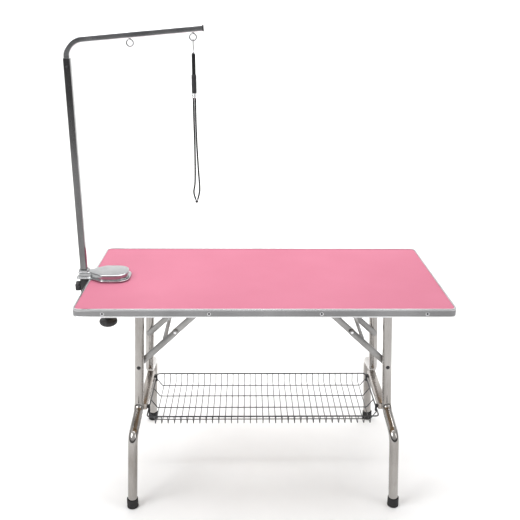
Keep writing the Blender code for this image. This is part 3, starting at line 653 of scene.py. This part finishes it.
slope = math.atan(0.0945)
turn = math.pi / 2 - slope
R = 56.0
tl = R * math.tan(turn / 2)
cxb, czb = AX + R, 1530.0 - tl
line = [(AX, 1240.0), (AX, 1300.0), (AX, 1400.0), (AX, czb - 1.0)]
line += [(cxb - R * math.cos(turn * i / 22), czb + R * math.sin(turn * i / 22)) for i in range(23)]
line += [(q, 1530.0 + (q - AX) * 0.0945) for q in (-540.0, -480.0, -421.0, -340.0, -260.0, -196.0)]
# The arm takes the lighter stainless copy: painted highlight at its bend
new("arm_tube", *sweep_data([W(a, AY, b) for a, b in line], mm(soft_square(18.0, 2.2)), Vector((0, 1, 0))), "arm", "steel", "arm", ("arm_top",), 30)
softened("arm_end_cap", "black", 0.0012, 3)
for q, tag in ((-421.0, "inner"), (-225.5, "outer")):
    zr = 1530.0 + (q - AX) * 0.0945 - 9.0 / math.cos(slope) - 14.6
    pts = [(q, zr + 13.9), (q, zr + 12.4), (q - 0.5, zr + 11.2)]
    for i in range(2, 33):
        a = math.radians(90 - 340.0 * i / 32)
        pts.append((q + 10.5 * math.cos(a), zr + 10.5 * math.sin(a)))
    ringo = sweep_data([W(a, AY, b) for a, b in pts], circle(0.002, 14), Vector((0, 1, 0)))
    nut = lathe_data([(0.0001, 0.0), (0.0042, 0.0), (0.0046, 0.0003), (0.0046, 0.0014), (0.0042, 0.0017), (0.0001, 0.0017)], W(q, AY, zr + 12.4), "z", 6)
    new("eye_ring_" + tag, *join([ringo, nut]), "zinc", "zinc", "arm", ("eye_" + tag,), 50)

# ---------------------------------------------------------------- noose
NX = -225.5
PZ = 1530.0 + (NX - AX) * 0.0945 - 9.0 / math.cos(slope) - 14.6 - 10.5
loop = []
for i in range(17):
    a = math.pi * i / 16
    loop.append((AY + 4.7 * math.cos(a), PZ + 4.7 * math.sin(a)))
for i in range(17):
    a = math.pi + math.pi * i / 16
    loop.append((AY + 4.7 * math.cos(a), PZ - 24 + 4.7 * math.sin(a)))
hook = sweep_data([W(NX, y, z) for y, z in loop], circle(0.0013, 14), Vector((1, 0, 0)), closed=True)
gate = lathe_data([(0.0001, -0.0210), (0.0015, -0.0209), (0.00165, -0.0204), (0.00165, -0.0120), (0.0014, -0.0114), (0.0014, -0.0040), (0.0016, -0.0034), (0.0001, -0.0030)],
                  W(NX, AY - 4.7, PZ), "z", 16)
thumb = lathe_data([(0.0001, 0.0)] + dome(0.0011, 0.0016, 4, 0.0, -1.0), W(NX, AY - 6.0, PZ - 13.5), "y", 14)
new("snap_hook_wire", *join([hook, gate, thumb]), "zinc", "zinc", "noose", ("snap_hook",), 50)
HB = PZ - 24 - 4.7 - 1.3
top = HB - 0.3
sw = mm([(0.01, top - 9.0), (3.9, top - 9.0), (4.4, top - 8.6), (4.4, top - 6.4), (3.6, top - 6.0), (3.6, top - 5.4), (4.2, top - 5.0), (4.0, top - 3.0),
         (3.1, top - 1.2), (3.1, top - 0.3), (0.01, top)])
new("swivel_barrel", *lathe_data(sw, (W(NX, 0, 0).x, AY / 1000, 0), "z", 28), "bright", "zinc", "noose", ("hook_swivel",))
ST1, ST0 = top - 9.3, 1431.0
strap = []
for i in range(25):
    z = ST1 - (ST1 - ST0) * i / 24
    t = 1.0 + (0.10 if i % 2 else 0.0)
    row = []
    for a, b in soft_square(2.0, 0.9, 3):
        row.append(W(NX + a * 5.7, AY + b * 1.95 * t, z))
    strap.append(row)
k = len(strap[0])
cv = [v for r in strap for v in r]
cf = [(j * k + i, j * k + (i + 1) % k, (j + 1) * k + (i + 1) % k, (j + 1) * k + i) for j in range(24) for i in range(k)]
cf += [tuple(range(k))[::-1], tuple(24 * k + i for i in range(k))]
new("strap_webbing", cv, cf, "nylon", "nylon", "noose", ("noose_strap",), 60)
sl = mm([(6.15, 1374.2), (7.0, 1374.0), (7.6, 1374.6), (7.8, 1376.0), (7.8, 1388.0), (7.5, 1389.0), (7.5, 1390.0), (7.8, 1391.0), (7.8, 1414.0),
         (7.5, 1415.0), (7.5, 1416.0), (7.8, 1417.0), (7.8, 1428.4), (7.5, 1430.0), (7.0, 1430.6), (6.15, 1430.5)])


def ringed(profile, name, look, slot_name, body, reps):
    """A sleeve: outer profile closed through a straight bore."""
    v, f = lathe_data(profile, (W(NX, 0, 0).x, AY / 1000, 0), "z", 28)
    f = f[:-2]
    k, last = 28, (len(profile) - 1) * 28
    for i in range(k):
        q = (i + 1) % k
        f.append((i, last + i, last + q, q))
    return new(name, v, f, look, slot_name, body, reps)


ringed(sl, "slider_sleeve", "sleeve", "nylon", "slider", ("noose_slider",))
fe = mm([(6.15, 1358.0), (6.7, 1358.0), (7.1, 1358.5), (7.1, 1361.0), (6.6, 1361.8), (6.6, 1363.0), (7.1, 1363.8), (7.1, 1368.0), (6.6, 1368.8), (6.6, 1370.0),
         (7.1, 1370.8), (7.1, 1373.0), (6.7, 1373.6), (6.15, 1373.7)])
ringed(fe, "slider_ferrule", "bright", "alu", "slider", ("noose_ferrule",))

RIGHT = ((3.0, 1430.4), (3.0, 1358), (3.0, 1290), (4.4, 1210), (7.6, 1130), (10.6, 1070), (8.8, 1048), (3.1, 1026.2))
LEFT = ((-3.0, 1430.4), (-3.0, 1358), (-3.0, 1290), (-2.2, 1210), (-2.8, 1130), (-4.6, 1082), (-9.0, 1052), (-3.1, 1026.2))


def smooth_route(knots, n):
    k = [knots[0]] + list(knots) + [knots[-1]]
    out = []
    for s_ in range(len(knots) - 1):
        p0, p1, p2, p3 = k[s_:s_ + 4]
        for i in range(n):
            u = i / n
            out.append(tuple(0.5 * (2 * p1[d] + (p2[d] - p0[d]) * u
                                    + (2 * p0[d] - 5 * p1[d] + 4 * p2[d] - p3[d]) * u * u
                                    + (3 * p1[d] - p0[d] - 3 * p2[d] + p3[d]) * u ** 3) for d in (0, 1)))
    out.append(tuple(knots[-1]))
    return out


bead = lathe_data([(0.0001, -0.0049), (0.0018, -0.0046)] + [(0.005 * math.cos(math.radians(a)), 0.0048 * math.sin(math.radians(a))) for a in range(-60, 61, 12)]
                  + [(0.0018, 0.0046), (0.0001, 0.0049)], W(NX, AY, 1020.1), "z", 28)
bead_o = new("end_bead", *bead, "black", "black", "noose", ("noose_bead",), 40)
for tag, knots in (("right", RIGHT), ("left", LEFT)):
    route = [W(NX + a, AY, z) for a, z in smooth_route(knots, 14)]
    o = new("cord_" + tag, *sweep_data(route, circle(0.0027, 18), Vector((0, 1, 0))), "nylon", "nylon", "noose", ("noose_cord_" + tag,), 60)

# ---------------------------------------------------------------- stage
def stage_floor():
    t = Tree("studio_paper")
    n = t.noise(3.0, (1, 1, 1), 3.0)
    t.base(t.ramp(n, (0.3, 0.86), (0.7, 0.90)))
    t.put(rough=0.9)
    pts = [(-6.0, 0.0), (2.6, 0.0)]
    for i in range(1, 17):
        a = math.pi / 2 * i / 16
        pts.append((2.6 + 1.6 * math.sin(a), 1.6 - 1.6 * math.cos(a)))
    pts.append((4.2, 5.0))
    v = [Vector((x, y, z)) for y, z in pts for x in (-7.0, 7.0)]
    f = [(2 * i, 2 * i + 1, 2 * i + 3, 2 * i + 2) for i in range(len(pts) - 1)]
    me = bpy.data.meshes.new("studio_sweep")
    me.from_pydata(v, [], f)
    for p in me.polygons:
        p.use_smooth = True
    o = bpy.data.objects.new("studio_sweep", me)
    bpy.context.scene.collection.objects.link(o)
    me.materials.append(t.m)


stage_floor()


def area(name, loc, target, size, power, colour=(1, 1, 1)):
    d = bpy.data.lights.new(name, "AREA")
    d.shape = "RECTANGLE"
    d.size, d.size_y = size
    d.energy = power
    d.color = colour
    o = bpy.data.objects.new(name, d)
    o.location = loc
    o.rotation_euler = (Vector(target) - Vector(loc)).to_track_quat("-Z", "Y").to_euler()
    bpy.context.scene.collection.objects.link(o)


area("key_left", (-2.2, -1.7, 2.7), (0.0, 0.0, 0.7), (1.6, 1.6), 46.0)
area("fill_right", (2.7, -1.5, 1.9), (0.2, 0.0, 0.7), (0.9, 1.8), 12.0)
area("top", (0.0, 0.3, 3.0), (0.0, 0.3, 0.0), (2.6, 2.0), 52.0)
area("backdrop", (0.0, 1.7, 2.9), (0.0, 3.6, 0.4), (4.0, 0.8), 80.0)

world = bpy.data.worlds.new("studio")
bpy.context.scene.world = world
world.use_nodes = True
wt = world.node_tree
bg = wt.nodes["Background"]
co = wt.nodes.new("ShaderNodeTexCoord")
sep = wt.nodes.new("ShaderNodeSeparateXYZ")
wt.links.new(co.outputs["Generated"], sep.inputs["Vector"])
rampn = wt.nodes.new("ShaderNodeValToRGB")
els = rampn.color_ramp.elements
stops = [(0.0, 0.5), (0.40, 0.25), (0.50, 0.10), (0.56, 0.16), (0.68, 0.85), (1.0, 1.0)]
while len(els) < len(stops):
    els.new(0.5)
for e, (p, c) in zip(els, stops):
    e.position = p
    e.color = (c, c, c * 1.01 if c < 0.9 else c, 1.0)
mr = wt.nodes.new("ShaderNodeMapRange")
mr.inputs["From Min"].default_value = -1.0
mr.inputs["From Max"].default_value = 1.0
wt.links.new(sep.outputs["Z"], mr.inputs["Value"])
wt.links.new(mr.outputs["Result"], rampn.inputs["Fac"])
wt.links.new(rampn.outputs["Color"], bg.inputs["Color"])
bg.inputs["Strength"].default_value = 0.85
bpy.context.scene.view_settings.view_transform = "Standard"

# ---------------------------------------------------------------- camera
yaw, pitch, roll = 0.020013, 0.339138, 0.007897
F = Vector((math.sin(yaw) * math.cos(pitch), math.cos(yaw) * math.cos(pitch), -math.sin(pitch)))
Rt = Vector((math.cos(yaw), -math.sin(yaw), 0.0))
U = Rt.cross(F)
cam = bpy.data.cameras.new("camera")
cam.sensor_width = 36.0
cam.lens = 696.643 / 520.0 * 36.0
cam.clip_start, cam.clip_end = 0.05, 60.0
co_ = bpy.data.objects.new("camera", cam)
bpy.context.scene.collection.objects.link(co_)
rotm = Matrix((Rt, U, -F)).transposed().to_4x4() @ Matrix.Rotation(roll, 4, "Z")
co_.matrix_world = Matrix.Translation(W(-58.058, -2280.687, 1611.604)) @ rotm
bpy.context.scene.camera = co_
